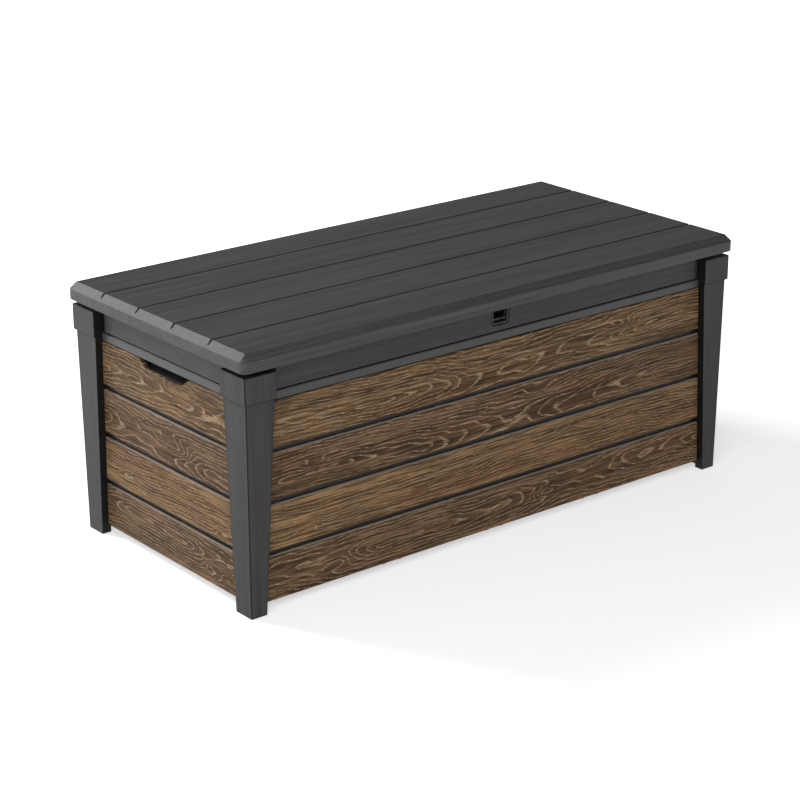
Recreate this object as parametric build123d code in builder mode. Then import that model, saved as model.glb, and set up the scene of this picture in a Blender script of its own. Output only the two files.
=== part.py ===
"""Deck storage box of moulded resin.

Four corner posts hold four wall panels, each faced with grained boards. A floor
panel rests on ledges inside the walls. The lid is a planked shell on a skirted
frame, hinged along the rear and held open by two gas struts.

Units are millimetres. +X runs along the box, the front faces -Y and +Z is up.
The origin is on the floor at the centre of the outline.
"""

from build123d import *
from dataclasses import dataclass
from math import sqrt
import os

os.makedirs("parts", exist_ok=True)

# ------------------------------------------------------------------ lid shell
lid_length = 1450.0
lid_depth = 692.0
total_height = 603.0
lid_edge_height = 24.2
lid_bevel = 15.8
lid_corner_radius = 16.0
lid_skin = 4.0
lid_overhang = 6.5
plank_pitch = 140.0
groove_count = 4
groove_width = 8.0
groove_floor_width = 5.0
groove_depth = 10.0
groove_wall = 4.0

# ------------------------------------------------------------------ lid frame
frame_plate = 3.0
frame_rise = 2.0
frame_clearance = 1.0
frame_pad_height = 8.0
frame_rib_height = 4.0
frame_rib_width = 5.0
frame_rib_pitch = 260.0
rear_skirt_drop = 30.0
rear_skirt_gap = 1.5
skirt_thickness = 4.0
skirt_end_gap = 14.0
skirt_gap = 3.5
bar_width = 30.0
bar_height = 30.0
bar_wall = 1.5
bar_spacing = 280.0
bar_end_gap = 4.0
bar_corner_radius = 3.0
bar_rail_width = 3.0
bar_rail_height = 10.0

# ---------------------------------------------------------------------- posts
capital_gap = 12.0
capital_height = 61.0
capital_width_x = 81.0
capital_width_y = 90.0
capital_proud = 5.0
capital_ease = 1.5
leg_top_width_x = 73.5
leg_top_width_y = 82.0
leg_foot_width_x = 41.0
leg_foot_width_y = 57.0
leg_lean_x = 4.5
leg_lean_y = 5.5
post_corner_radius = 3.0
post_wall = 4.0
boss_radius = 6.0

# ---------------------------------------------------------------------- walls
board_setback = 16.0
board_thickness = 8.0
panel_thickness = 4.0
wall_bottom = 19.5
board_rows = 4
board_gap = 11.0
board_bevel = 2.5
board_end_gap = 2.5
rim_joint = 3.0
rim_height = 19.0
rim_rise = 10.5
rim_radius = 3.0
lip_drop = 6.0
ledge_depth = 12.0
ledge_height = 5.0
ledge_inset = 45.0
tongue_width = 10.0
tongue_height = 4.0
tongue_spacing = 46.0
tongue_pitch_long = 305.0
tongue_pitch_end = 140.0

# ---------------------------------------------------------------------- floor
floor_thickness = 4.0
floor_rib_height = 8.0
floor_rib_width = 4.0
floor_rib_pitch = 110.0
floor_rib_gap = 2.0
floor_clearance = 1.0

# ------------------------------------------------------------ handle and lock
handle_width_top = 206.0
handle_width_bottom = 141.0
handle_drop = 24.5
handle_radius = 7.0
pocket_depth = 22.0
pocket_height = 38.0
pocket_wall = 3.0
lock_width = 54.0
lock_height = 47.0
lock_radius = 9.0
lock_pocket_margin = 3.0
lock_pocket_depth = 20.0
bezel_wall = 3.5
bezel_depth = 12.0
bezel_setback = 1.0
bezel_margin = 2.5
hasp_thickness = 3.0
hasp_gap = 3.0
hasp_hole_radius = 4.5
hasp_back_gap = 1.5
staple_width = 18.0
staple_tip_gap = 2.5
staple_tip_margin = 7.5
staple_flange_width = 44.0
staple_flange_height = 13.0
staple_screw_pitch = 30.0
staple_screw_bite = 5.5

# --------------------------------------------------------------------- hinges
hinge_setback = 8.0
hinge_pitch = 480.0
hinge_names = ("left", "middle", "right")
knuckle_radius = 5.0
knuckle_length = 24.0
knuckle_gap = 0.5
pin_radius = 2.5
pin_clearance = 0.05
pin_head_radius = 4.0
pin_head_height = 1.5
leaf_thickness = 2.5
leaf_width = 62.0
leaf_reach = 36.0
leaf_drop = 40.0
leaf_screw_pitch = 40.0
leaf_screw_inset = 28.0

# --------------------------------------------------------------------- struts
strut_arm = 200.0
strut_stud_drop = 6.0
strut_rest_angle = 70.0
strut_offset = 15.5
cylinder_start = 14.0
cylinder_head_gap = 29.4
cylinder_radius = 9.0
cylinder_wall = 1.5
cylinder_cap = 4.0
cylinder_guide = 8.0
neck_radius = 4.5
rod_radius = 4.0
piston_gap = 5.4
rod_socket = 18.0
rod_clearance = 0.08
piston_length = 10.0
piston_clearance = 0.4
eye_radius = 7.0
eye_width = 9.0
stud_radius = 3.5
stud_clearance = 0.05
stud_head_radius = 5.5
stud_head_height = 1.5
stud_gap = 0.4
plate_thickness = 3.0
plate_size = 34.0
plate_corner_radius = 4.0
tab_gap = 1.5
tab_drop = 20.0
tab_length = 47.0
pad_thickness = 6.0
pad_margin = 3.0

# ------------------------------------------------------------ fits, fasteners
fit_gap = 0.2
slide_gap = 0.5
overlap = 1.0
tolerance = 0.01
screw_radius = 2.0
screw_head_radius = 4.5
screw_head_height = 2.2
screw_hole_clearance = 0.1
screw_hole_spare = 0.5
screw_crown_radius = 1.0
screw_tip_chamfer = 0.8
post_screw_bite = 14.0
post_screw_inset = 15.0
post_screw_pitch = 150.0
plate_screw_bite = 8.0
plate_screw_pitch = 20.0
leaf_screw_bite = 10.0
lid_screw_bite = 14.0
lid_screw_inset = 60.0
lid_screw_end_inset = 65.0

# ----------------------------------------------------------------- worked out
half_length = lid_length / 2
half_depth = lid_depth / 2
lid_edge_z = total_height - lid_edge_height - lid_bevel
lid_under_z = total_height - lid_skin
frame_z = lid_edge_z + frame_rise
frame_top = frame_z + frame_plate
capital_top = lid_edge_z - capital_gap
leg_height = capital_top - capital_height
capital_half_x = half_length - lid_overhang
capital_half_y = half_depth - lid_overhang
foot_half_x = capital_half_x - capital_proud - leg_lean_x
foot_half_y = capital_half_y - capital_proud - leg_lean_y
plate_depth = board_setback + board_thickness
plate_back = plate_depth + panel_thickness
rim_top = leg_height + rim_rise
rim_low = rim_top - rim_height
lip_top = capital_top - lip_drop
boards_top = rim_low - rim_joint
board_pitch = (boards_top - wall_bottom + board_gap) / board_rows
board_height = board_pitch - board_gap
skirt_low = rim_top + skirt_gap
ledge_top = wall_bottom + ledge_height
handle_low = rim_low - handle_drop
lock_low = lid_edge_z - lock_height
hinge_y = half_depth - hinge_setback
hinge_z = frame_z - leaf_thickness - knuckle_gap - knuckle_radius
hinge_places = (-hinge_pitch, 0.0, hinge_pitch)
post_screw_count = int((leg_height - 2 * boss_radius) / post_screw_pitch)
post_screw_heights = [(k + 1) * post_screw_pitch for k in range(post_screw_count)]
lid_screw_y = half_depth - lid_screw_inset
lid_screw_end = half_length - lid_screw_end_inset
lid_screw_places = (-lid_screw_end, -hinge_pitch / 2, hinge_pitch / 2, lid_screw_end)
screw_hole = screw_radius + screw_hole_clearance
upward = (Align.CENTER, Align.MIN, Align.MIN)
centred_low = (Align.CENTER, Align.CENTER, Align.MIN)


@dataclass
class Wall:
    """One side of the box, modelled facing -Y and then turned about Z."""

    name: str
    angle: float
    foot_reach: float
    lean: float
    clear_foot: float
    clear_top: float
    capital_clear: float
    tongue_pitch: float

    def face(self, z, depth):
        """Distance from the centre plane to a layer this deep behind the legs."""
        return self.foot_reach + self.lean * z / leg_height - depth

    def clear(self, z):
        """Half the width that is clear between the two legs at this height."""
        return self.clear_foot + (self.clear_top - self.clear_foot) * z / leg_height


def long_wall(name, angle):
    return Wall(
        name=name,
        angle=angle,
        foot_reach=foot_half_y,
        lean=leg_lean_y,
        clear_foot=foot_half_x - leg_foot_width_x,
        clear_top=foot_half_x + leg_lean_x - leg_top_width_x,
        capital_clear=capital_half_x - capital_width_x,
        tongue_pitch=tongue_pitch_long,
    )


def end_wall(name, angle):
    return Wall(
        name=name,
        angle=angle,
        foot_reach=foot_half_x,
        lean=leg_lean_x,
        clear_foot=foot_half_y - leg_foot_width_y,
        clear_top=foot_half_y + leg_lean_y - leg_top_width_y,
        capital_clear=capital_half_y - capital_width_y,
        tongue_pitch=tongue_pitch_end,
    )


front = long_wall("front", 0)
right = end_wall("right", 90)
rear = long_wall("rear", 180)
left = end_wall("left", 270)
walls = (front, right, rear, left)
long_walls = (front, rear)
end_walls = (left, right)

# The capitals stop just outside the wall panels.
capital_depth_x = capital_half_x - left.face(lip_top, plate_depth)
capital_depth_y = capital_half_y - front.face(lip_top, plate_depth)
capital_depth = min(capital_depth_x, capital_depth_y) - fit_gap

# Strut geometry, with the lid shut. Both ends of a strut are the same distance
# from the hinge axis, so the strut turns half as far as the lid.
hinge_axis = Axis((0, hinge_y, hinge_z), (1, 0, 0))
strut_head_y = hinge_y - sqrt(strut_arm**2 - strut_stud_drop**2)
strut_head_z = hinge_z - strut_stud_drop
pad_face = left.face(handle_low, plate_back) - pad_thickness
strut_x = pad_face - plate_thickness - strut_offset
strut_head = Vector(0, strut_head_y, strut_head_z)
strut_foot = Vertex(*strut_head).rotate(hinge_axis, strut_rest_angle).center()
strut_line = (strut_head - strut_foot).normalized()
strut_length = (strut_head - strut_foot).length
cylinder_length = strut_length - cylinder_start - cylinder_head_gap
bore_start = cylinder_start + cylinder_cap
rod_start = bore_start + piston_gap
rod_length = strut_length - rod_start

# The bars and the ribs of the lid frame end short of the strut brackets.
pad_across = plate_size + 2 * pad_margin
strut_pad_x = strut_x - plate_size / 4
bar_length = 2 * (strut_pad_x - pad_across / 2 - bar_end_gap - bar_rail_width - fit_gap)
frame_rib_count = 2 * int((strut_pad_x - pad_across / 2) / frame_rib_pitch) + 1
frame_rib_length = 2 * (lid_screw_y - screw_head_radius - frame_clearance)

# Lock geometry, from the front face of the skirt inwards.
skirt_face = front.face(rim_top, board_setback)
bezel_face = skirt_face - bezel_setback
lock_back = front.face(lock_low, plate_back) - lock_pocket_depth
bezel_low = lock_low + bezel_margin
staple_z = bezel_low + bezel_wall + slide_gap
staple_tip = bezel_face - bezel_depth - staple_tip_gap
staple_flange_low = staple_z + hasp_thickness + hasp_gap / 2 - staple_flange_height
lock_hole_y = staple_tip_margin - staple_tip
hasp_z = staple_z + hasp_thickness + hasp_gap


def save(part, name):
    part.label = name
    export_step(part, f"parts/{name}.step")


def turned(points, angle):
    """The same points after a turn about Z."""
    return [Vector(*point).rotate(Axis.Z, angle) for point in points]


def step_along(plane, start, length, radius, mode=Mode.ADD):
    """One round step of a turned part, along the normal of a plane."""
    with BuildSketch(plane.offset(start)) as circle:
        Circle(radius)
    extrude(circle.sketch, amount=length, mode=mode)


def u_outline(plane, width, low, radius):
    """An outline up to the lid frame, with rounded lower corners."""
    with BuildSketch(plane) as outline:
        with Locations((0, low)):
            Rectangle(width, frame_z - low, align=(Align.CENTER, Align.MIN))
        fillet(outline.vertices().group_by(Axis.Y)[0], radius)
    return outline.sketch


def drill(spots, direction, depth, radius=screw_hole, mode=Mode.SUBTRACT):
    """Round holes, or bosses when the mode adds, that start at the spots."""
    for spot in spots:
        step_along(Plane(origin=spot, z_dir=direction), 0, depth, radius, mode)


def screw(spot, direction, bite):
    """A pan-head screw: the head seats on the spot and the tip points along direction."""
    seat = Plane(origin=spot, z_dir=direction)
    with BuildPart() as one:
        with BuildSketch(seat):
            Circle(screw_head_radius)
        extrude(amount=-screw_head_height)
        crown = one.faces().sort_by(Axis(seat.origin, seat.z_dir))[0]
        fillet(crown.edges(), screw_crown_radius)
        with BuildSketch(seat):
            Circle(screw_radius)
        extrude(amount=bite)
        tip = one.faces().sort_by(Axis(seat.origin, seat.z_dir))[-1]
        chamfer(tip.edges(), screw_tip_chamfer)
    return one.part


def save_group(solids, name):
    """Identical fasteners kept in one node as separate solids."""
    save(Compound(children=solids), name)


# ------------------------------------------------------- places of the screws
def post_screw_spots(wall):
    """On a panel's inner face, beside each leg, in the wall's own position."""
    spots = []
    for z in post_screw_heights:
        for side in (-1, 1):
            x = side * (wall.clear(z) + post_screw_inset)
            spots.append((x, -wall.face(z - screw_head_radius, plate_back), z))
    return turned(spots, wall.angle)


def outward(wall):
    return Vector(0, -1, 0).rotate(Axis.Z, wall.angle)


def staple_screw_spots():
    z = staple_flange_low + staple_flange_height / 2
    y = -lock_back - hasp_thickness
    return [(side * staple_screw_pitch / 2, y, z) for side in (-1, 1)]


def body_leaf_screw_spots(x):
    y = rear.face(lip_top, plate_depth) + leaf_thickness
    z = lip_top - leaf_screw_inset
    return [(x + side * leaf_screw_pitch / 2, y, z) for side in (-1, 1)]


def lid_leaf_screw_spots(x):
    y = hinge_y - leaf_screw_inset
    z = frame_z - leaf_thickness
    return [(x + side * leaf_screw_pitch / 2, y, z) for side in (-1, 1)]


def foot_bracket_screw_spots(side):
    x = side * (pad_face - plate_thickness)
    reach = plate_screw_pitch / 2
    return [(x, strut_foot.Y + step * reach, strut_foot.Z + step * reach) for step in (-1, 1)]


def head_bracket_screw_spots(side):
    x = side * strut_pad_x
    reach = plate_screw_pitch / 2
    return [(x, strut_head.Y + step * reach, frame_z - plate_thickness) for step in (-1, 1)]


def lid_screw_spots():
    return [(x, side * lid_screw_y, frame_z) for x in lid_screw_places for side in (-1, 1)]


# ================================================================ wall panels
def handle_cut(wall, depth):
    """Cut the hand hole, a trapezoid with rounded lower corners, through one layer."""
    with BuildSketch(Plane.XZ.offset(wall.face(handle_low, depth))) as hole:
        Polygon(
            (-handle_width_bottom / 2, handle_low),
            (handle_width_bottom / 2, handle_low),
            (handle_width_top / 2, rim_low),
            (-handle_width_top / 2, rim_low),
            align=None,
        )
        fillet(hole.vertices().group_by(Axis.Y)[0], handle_radius)
    extrude(hole.sketch, amount=2 * board_thickness, both=True, mode=Mode.SUBTRACT)


def add_handle_pocket(wall):
    """A finger pocket behind the hand hole, reaching up behind the rim strip."""
    inner_y = -wall.face(rim_low, plate_back)
    with Locations((0, inner_y - overlap, handle_low - pocket_wall)):
        Box(
            handle_width_top + 2 * pocket_wall,
            pocket_depth + pocket_wall + overlap,
            pocket_height + 2 * pocket_wall,
            align=upward,
        )
    with Locations((0, inner_y, handle_low)):
        Box(handle_width_top, pocket_depth, pocket_height, align=upward, mode=Mode.SUBTRACT)
    handle_cut(wall, plate_back)


def add_lock_pocket():
    """Set the front lip back, so that a padlock has room between lid and box."""
    inner_y = -front.face(lock_low, plate_back)
    low = lock_low - lock_pocket_margin
    width = lock_width + 2 * lock_pocket_margin
    with Locations((0, inner_y - overlap, low - pocket_wall)):
        Box(
            width + 2 * pocket_wall,
            lock_pocket_depth + pocket_wall + overlap,
            lip_top - low + pocket_wall,
            align=upward,
        )
    with Locations((0, inner_y - 2 * panel_thickness, low)):
        Box(
            width,
            lock_pocket_depth + 2 * panel_thickness,
            lip_top - low + overlap,
            align=upward,
            mode=Mode.SUBTRACT,
        )
    drill(staple_screw_spots(), (0, 1, 0), hasp_thickness + pocket_wall + overlap)


def add_hinge_pads():
    """Thick pads inside the rear lip that take the screws of the hinge leaves."""
    inner_y = -rear.face(lip_top, plate_back)
    for x in hinge_places:
        with Locations((-x, inner_y - overlap, rim_top)):
            Box(leaf_width, pad_thickness + overlap, lip_top - rim_top, align=upward)
        spots = turned(body_leaf_screw_spots(x), -rear.angle)
        drill(spots, (0, 1, 0), leaf_screw_bite + screw_hole_spare)


def add_strut_pad(wall):
    """A pad on an end wall's inner face that carries the lower strut bracket."""
    side = 1 if wall is right else -1
    low = strut_foot.Z - pad_across / 2
    with Locations((side * strut_foot.Y, -pad_face - pad_thickness - overlap, low)):
        Box(pad_across, pad_thickness + overlap, pad_across, align=upward)
    spots = turned(foot_bracket_screw_spots(side), -wall.angle)
    drill(spots, (0, -1, 0), plate_screw_bite + screw_hole_spare)


def make_panel(wall):
    meets = left if wall in long_walls else front
    past_corner = panel_thickness if wall in long_walls else -slide_gap
    end_low = meets.face(wall_bottom, plate_back) + past_corner
    end_high = meets.face(lip_top, plate_back) + past_corner

    with BuildPart() as panel:
        # The plate leans outward as it rises.
        with BuildSketch(Plane.YZ):
            Polygon(
                (-wall.face(wall_bottom, plate_depth), wall_bottom),
                (-wall.face(lip_top, plate_depth), lip_top),
                (-wall.face(lip_top, plate_back), lip_top),
                (-wall.face(wall_bottom, plate_back), wall_bottom),
                align=None,
            )
        extrude(amount=end_high, both=True)
        with BuildSketch(Plane.XZ):
            Polygon(
                (-end_low, wall_bottom),
                (end_low, wall_bottom),
                (end_high, lip_top),
                (-end_high, lip_top),
                align=None,
            )
        extrude(amount=wall.foot_reach + wall.lean, mode=Mode.INTERSECT)

        # Rim strip above the boards, with a rounded top edge.
        with BuildSketch(Plane.YZ) as rim_section:
            Polygon(
                (-wall.face(rim_low, board_setback), rim_low),
                (-wall.face(rim_top, board_setback), rim_top),
                (-wall.face(rim_top, plate_depth + overlap), rim_top),
                (-wall.face(rim_low, plate_depth + overlap), rim_low),
                align=None,
            )
            fillet(rim_section.vertices().group_by(Axis.Y)[-1].sort_by(Axis.X)[0], rim_radius)
        extrude(amount=wall.capital_clear - slide_gap, both=True)

        # Ledge that carries the floor, kept clear of the corners.
        with BuildSketch(Plane.YZ):
            Polygon(
                (-wall.face(wall_bottom, plate_back - overlap), wall_bottom),
                (-wall.face(ledge_top, plate_back - overlap), ledge_top),
                (-wall.face(ledge_top, plate_back + ledge_depth), ledge_top),
                (-wall.face(wall_bottom, plate_back + ledge_depth), wall_bottom),
                align=None,
            )
        extrude(amount=end_low - ledge_inset, both=True)

        # Latch tongues in pairs under the bottom edge.
        for pair in (-1, 0, 1):
            for side in (-1, 1):
                x = pair * wall.tongue_pitch + side * tongue_spacing / 2
                with Locations((x, -wall.face(wall_bottom, plate_depth), wall_bottom - tongue_height)):
                    Box(tongue_width, panel_thickness, 2 * tongue_height, align=upward)

        if wall in end_walls:
            add_handle_pocket(wall)
            add_strut_pad(wall)
        if wall is front:
            add_lock_pocket()
        if wall is rear:
            add_hinge_pads()

        # Screw holes into the corner posts.
        drill(turned(post_screw_spots(wall), -wall.angle), (0, -1, 0), 2 * panel_thickness)
    return panel.part


for wall in walls:
    save(make_panel(wall).rotate(Axis.Z, wall.angle), f"{wall.name}_panel")


# ===================================================================== boards
def make_board(wall, row):
    """A board with eased long edges, whose ends follow the taper of the legs."""
    low = wall_bottom + row * board_pitch
    high = low + board_height
    with BuildPart() as board:
        with BuildSketch(Plane.YZ):
            Polygon(
                (-wall.face(low, board_setback + board_bevel), low),
                (-wall.face(low + board_bevel, board_setback), low + board_bevel),
                (-wall.face(high - board_bevel, board_setback), high - board_bevel),
                (-wall.face(high, board_setback + board_bevel), high),
                (-wall.face(high, plate_depth), high),
                (-wall.face(low, plate_depth), low),
                align=None,
            )
        extrude(amount=wall.clear(low), both=True)
        with BuildSketch(Plane.XZ):
            Polygon(
                (-wall.clear(low) + board_end_gap, low),
                (wall.clear(low) - board_end_gap, low),
                (wall.clear(high) - board_end_gap, high),
                (-wall.clear(high) + board_end_gap, high),
                align=None,
            )
        extrude(amount=wall.foot_reach + wall.lean, mode=Mode.INTERSECT)
        if wall in end_walls and row == board_rows - 1:
            handle_cut(wall, plate_depth)
    return board.part


for wall in walls:
    for row in range(board_rows):
        board = make_board(wall, row).rotate(Axis.Z, wall.angle)
        save(board, f"{wall.name}_board_{row + 1}")


# =============================================================== corner posts
def corner_outline(edge_x, edge_y, half_x, half_y, thickness, skin):
    """An L whose flanges run from the corner to edge_x and edge_y."""
    return [
        (edge_x + skin, half_y - skin),
        (half_x - skin, half_y - skin),
        (half_x - skin, edge_y + skin),
        (half_x - thickness, edge_y + skin),
        (half_x - thickness, half_y - thickness),
        (edge_x + skin, half_y - thickness),
    ]


def leg_section(z, thickness, skin, radius):
    """The leg's L at one height, in the quarter where x and y are positive."""
    edge_x = front.clear(z)
    edge_y = left.clear(z)
    points = corner_outline(edge_x, edge_y, left.face(z, 0), front.face(z, 0), thickness, skin)
    with BuildSketch(Plane.XY.offset(z)) as section:
        Polygon(*points, align=None)
        if radius > 0:
            fillet(section.vertices().sort_by_distance((0, 0, z))[-1], radius)
    return section.sketch


def capital_section(z, skin, inner_cut):
    """The capital's L, which stands proud of the leg all round."""
    edge_x = front.capital_clear
    edge_y = left.capital_clear
    inward = capital_depth + inner_cut
    points = corner_outline(edge_x, edge_y, capital_half_x, capital_half_y, inward, skin)
    with BuildSketch(Plane.XY.offset(z)) as section:
        Polygon(*points, align=None)
        fillet(section.vertices().sort_by_distance((0, 0, z))[-1], post_corner_radius)
    return section.sketch


def make_post():
    """A hollow moulding, open towards the panels, with bosses for its screws."""
    depth = plate_depth - fit_gap
    with BuildPart() as post:
        foot = leg_section(0, depth, 0, post_corner_radius)
        shoulder = leg_section(leg_height, depth, 0, post_corner_radius)
        loft([foot, shoulder])
        extrude(capital_section(leg_height, 0, 0), amount=capital_height)
        rims = post.edges().filter_by_position(Axis.Z, capital_top - tolerance, capital_top + tolerance)
        fillet(rims.filter_by(edge_is_outer), capital_ease)
        lower = post.edges().filter_by_position(Axis.Z, leg_height - tolerance, leg_height + tolerance)
        fillet(lower.filter_by(edge_is_outer), capital_ease)
        inner_low = leg_section(post_wall, depth + overlap, post_wall, 0)
        inner_high = leg_section(leg_height + post_wall, depth + overlap, post_wall, 0)
        loft([inner_low, inner_high], mode=Mode.SUBTRACT)
        cavity = capital_section(leg_height + post_wall, post_wall, overlap)
        extrude(cavity, amount=capital_height - 2 * post_wall, mode=Mode.SUBTRACT)
        add_post_bosses(depth)
    return post.part


def edge_is_outer(edge):
    """True on the two outer faces of the capital."""
    middle = edge.center()
    reach_x = capital_half_x - abs(middle.X)
    reach_y = capital_half_y - abs(middle.Y)
    return min(reach_x, reach_y) < post_corner_radius / 2


def add_post_bosses(depth):
    """Bosses across both flanges, each with a hole for a post screw."""
    for wall in (rear, right):
        away = outward(wall)
        spots = [spot for spot in post_screw_spots(wall) if spot.X > 0 and spot.Y > 0]
        starts = [spot + away * (panel_thickness + fit_gap) for spot in spots]
        drill(starts, away, depth - post_wall / 2, radius=boss_radius, mode=Mode.ADD)
        drill(starts, away, post_screw_bite - panel_thickness + screw_hole_spare)


post = make_post()
post_mirrored = post.mirror(Plane.YZ)
save(post, "rear_right_post")
save(post_mirrored, "rear_left_post")
save(post.mirror(Plane.XZ), "front_right_post")
save(post_mirrored.mirror(Plane.XZ), "front_left_post")

post_screws = []
for wall in walls:
    post_screws += [screw(spot, outward(wall), post_screw_bite) for spot in post_screw_spots(wall)]
save_group(post_screws, "post_screws")


# ====================================================================== floor
with BuildPart() as floor_panel:
    floor_length = 2 * (left.face(ledge_top, plate_back) - floor_clearance)
    floor_width = 2 * (front.face(ledge_top, plate_back) - floor_clearance)
    with BuildSketch(Plane.XY.offset(ledge_top)):
        Rectangle(floor_length, floor_width)
    extrude(amount=floor_thickness)
    rib_length = floor_length - 2 * (ledge_depth + floor_rib_gap)
    rib_width = floor_width - 2 * (ledge_depth + floor_rib_gap)
    rib_columns = int(rib_length / floor_rib_pitch)
    rib_rows = int(rib_width / floor_rib_pitch)
    with BuildSketch(Plane.XY.offset(ledge_top)):
        with GridLocations(floor_rib_pitch, 0, rib_columns, 1):
            Rectangle(floor_rib_width, rib_width)
        with GridLocations(0, floor_rib_pitch, 1, rib_rows):
            Rectangle(rib_length, floor_rib_width)
    extrude(amount=-floor_rib_height)
save(floor_panel.part, "floor_panel")


# ================================================================== lid shell
groove_places = [(k - (groove_count - 1) / 2) * plank_pitch for k in range(groove_count)]
groove_floor = total_height - groove_depth
groove_rib = groove_width + 2 * groove_wall


def lid_block(inset, low, high, bevel):
    """A rounded slab with a bevelled top edge."""
    with BuildPart() as block:
        with BuildSketch(Plane.XY.offset(low)):
            RectangleRounded(lid_length - 2 * inset, lid_depth - 2 * inset, lid_corner_radius - inset)
        extrude(amount=high - low)
        chamfer(block.faces().sort_by(Axis.Z)[-1].edges(), bevel)
    return block.part


with BuildPart() as lid_hollow:
    add(lid_block(lid_skin, lid_edge_z - overlap, lid_under_z, lid_bevel - lid_skin))
    # Leave a rib under each groove, so that the skin is never cut through.
    with Locations(*[(0, y, groove_floor - groove_wall) for y in groove_places]):
        Box(lid_length, groove_rib, lid_skin + groove_depth, align=centred_low, mode=Mode.SUBTRACT)
    # Leave a boss for each lid screw.
    for spot in lid_screw_spots():
        with Locations((spot[0], spot[1], frame_top + fit_gap)):
            Cylinder(boss_radius, lid_edge_height + lid_bevel, align=centred_low, mode=Mode.SUBTRACT)

with BuildPart() as lid_shell:
    add(lid_block(0, lid_edge_z, total_height, lid_bevel))
    add(lid_hollow.part, mode=Mode.SUBTRACT)
    for y in groove_places:
        with BuildSketch(Plane.YZ):
            Polygon(
                (y - groove_floor_width / 2, groove_floor),
                (y + groove_floor_width / 2, groove_floor),
                (y + groove_width / 2, total_height),
                (y - groove_width / 2, total_height),
                align=None,
            )
        extrude(amount=half_length, both=True, mode=Mode.SUBTRACT)
    drill([Vector(*spot) for spot in lid_screw_spots()], (0, 0, 1), lid_screw_bite + screw_hole_spare)
save(lid_shell.part, "lid_shell")


# ================================================================== lid frame
with BuildPart() as lid_frame:
    frame_inset = lid_skin + frame_clearance
    with BuildSketch(Plane.XY.offset(frame_z)):
        RectangleRounded(
            lid_length - 2 * frame_inset,
            lid_depth - 2 * frame_inset,
            lid_corner_radius - frame_inset,
        )
    extrude(amount=frame_plate)

    # Skirts hang outside the front and end walls, in line with the boards.
    long_skirt = 2 * (front.capital_clear - skirt_end_gap)
    end_skirt = 2 * (left.capital_clear - skirt_end_gap)
    end_skirt_middle = left.face(rim_top, board_setback) - skirt_thickness / 2
    with Locations((0, -skirt_face, skirt_low)):
        Box(long_skirt, skirt_thickness, frame_z - skirt_low, align=upward)
    for side in (-1, 1):
        with Locations((side * end_skirt_middle, 0, skirt_low)):
            Box(skirt_thickness, end_skirt, frame_z - skirt_low, align=centred_low)

    # The rear skirt drops inside the rear lip, so that the lid can swing.
    rear_skirt_face = rear.face(lip_top, plate_back) - pad_thickness - rear_skirt_gap
    with Locations((0, rear_skirt_face - skirt_thickness, frame_z - rear_skirt_drop)):
        Box(long_skirt, skirt_thickness, rear_skirt_drop, align=upward)

    # Stiffening ribs across the underside.
    with Locations((0, 0, frame_z - frame_rib_height)):
        with GridLocations(frame_rib_pitch, 0, frame_rib_count, 1):
            Box(frame_rib_width, frame_rib_length, frame_rib_height, align=centred_low)

    # Rails and end stops that hold the steel bars.
    rail_offset = (bar_width + bar_rail_width) / 2 + fit_gap
    stop_offset = (bar_length + bar_rail_width) / 2 + fit_gap
    for y in (-bar_spacing / 2, bar_spacing / 2):
        for side in (-1, 1):
            with Locations((0, y + side * rail_offset, frame_top)):
                Box(bar_length, bar_rail_width, bar_rail_height, align=centred_low)
            with Locations((side * stop_offset, y, frame_top)):
                Box(bar_rail_width, bar_width, bar_rail_height, align=centred_low)

    # Thick pads over the hinge leaves and the strut brackets.
    for x in hinge_places:
        with Locations((x, hinge_y - leaf_reach, frame_top)):
            Box(leaf_width, leaf_reach, frame_pad_height, align=upward)
        drill(lid_leaf_screw_spots(x), (0, 0, 1), leaf_screw_bite + screw_hole_spare)
    for side in (-1, 1):
        with Locations((side * strut_pad_x, strut_head.Y, frame_top)):
            Box(pad_across, pad_across, frame_pad_height, align=centred_low)
        drill(head_bracket_screw_spots(side), (0, 0, 1), plate_screw_bite + screw_hole_spare)
    drill(lid_screw_spots(), (0, 0, 1), frame_plate + overlap)

    # Window for the lock.
    lock_plane = Plane.XZ.offset(skirt_face)
    notch = u_outline(lock_plane, lock_width, lock_low, lock_radius)
    extrude(notch, amount=2 * skirt_thickness, both=True, mode=Mode.SUBTRACT)
save(lid_frame.part, "lid_frame")

lid_screws = [screw(spot, (0, 0, 1), lid_screw_bite) for spot in lid_screw_spots()]
save_group(lid_screws, "lid_screws")


def make_bar(y):
    """A square steel tube that stiffens the lid."""
    inside = bar_width - 2 * bar_wall
    with BuildPart() as bar:
        with BuildSketch(Plane.YZ):
            with Locations((y, frame_top + bar_height / 2)):
                RectangleRounded(bar_width, bar_height, bar_corner_radius)
                RectangleRounded(
                    inside,
                    bar_height - 2 * bar_wall,
                    bar_corner_radius - bar_wall,
                    mode=Mode.SUBTRACT,
                )
        extrude(amount=bar_length / 2, both=True)
    return bar.part


save(make_bar(-bar_spacing / 2), "front_bar")
save(make_bar(bar_spacing / 2), "rear_bar")


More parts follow.
